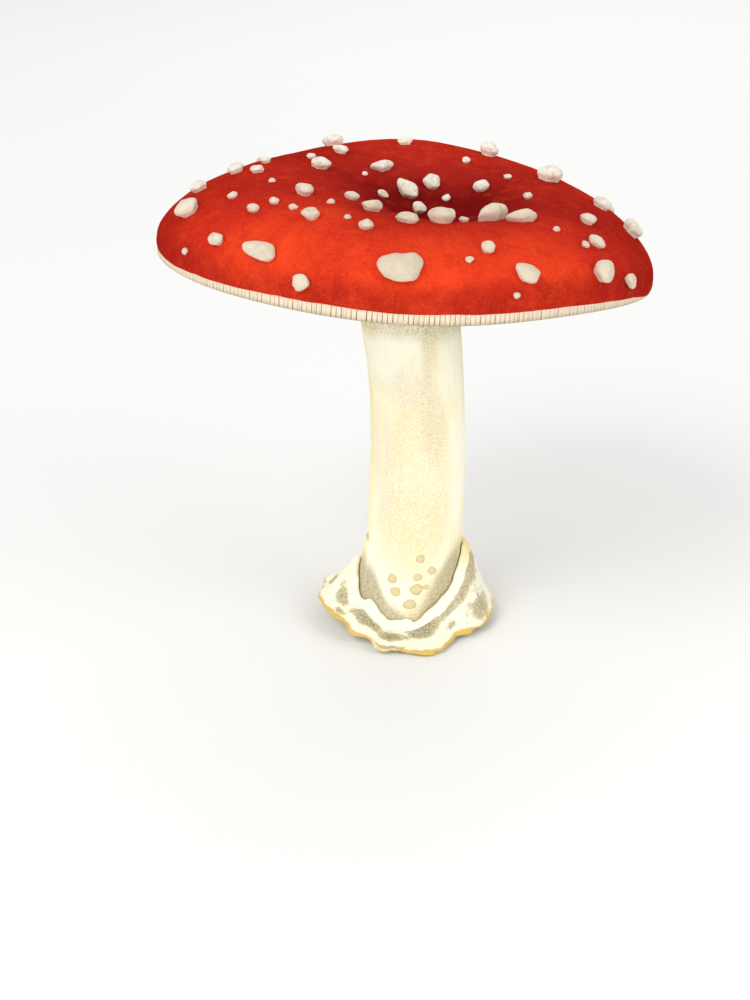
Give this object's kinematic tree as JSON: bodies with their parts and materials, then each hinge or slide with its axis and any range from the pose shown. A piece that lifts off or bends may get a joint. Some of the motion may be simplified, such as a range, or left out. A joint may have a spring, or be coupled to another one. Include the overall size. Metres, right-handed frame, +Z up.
{
  "type": "fly agaric mushroom",
  "caption": "Red-capped toadstool with a dished, wavy cap dotted with pale warts, pale gills, a bowed cream stem and a torn volva round a foot cut flat to stand on.",
  "frame": {"origin": "middle of the flat cut under the bulb, which is what the mushroom stands on", "axes": "+Z up along the stem, +X to the right and -Y to the front as the picture shows it"},
  "size_m": [0.1445, 0.145, 0.1428],
  "materials": {
    "skin": "satin",
    "gill": "matte",
    "stem": "matte",
    "volva": "matte",
    "wart": "matte"
  },
  "bodies": {
    "root": {"cap": "skin", "gills": "gill", "stem": "stem", "volva_collar": "volva", "volva_skirt": "volva", "wart_01": "wart", "wart_02": "wart", "wart_03": "wart", "wart_04": "wart", "wart_05": "wart", "wart_06": "wart", "wart_07": "wart", "wart_08": "wart", "wart_09": "wart", "wart_10": "wart", "wart_11": "wart", "wart_12": "wart", "wart_13": "wart", "wart_14": "wart", "wart_15": "wart", "wart_16": "wart", "wart_17": "wart", "wart_18": "wart", "wart_19": "wart", "wart_20": "wart", "wart_21": "wart", "wart_22": "wart", "wart_23": "wart", "wart_24": "wart", "wart_25": "wart", "wart_26": "wart", "wart_27": "wart", "wart_28": "wart", "wart_29": "wart", "wart_30": "wart", "wart_31": "wart", "wart_32": "wart", "wart_33": "wart", "wart_34": "wart", "wart_35": "wart", "wart_36": "wart", "wart_37": "wart", "wart_38": "wart", "wart_39": "wart", "wart_40": "wart", "wart_41": "wart", "wart_42": "wart", "wart_43": "wart", "wart_44": "wart", "wart_45": "wart", "wart_46": "wart", "wart_47": "wart", "wart_48": "wart", "wart_49": "wart", "wart_50": "wart", "wart_51": "wart", "wart_52": "wart", "wart_53": "wart", "wart_54": "wart", "wart_55": "wart"}
  },
  "joints": []
}
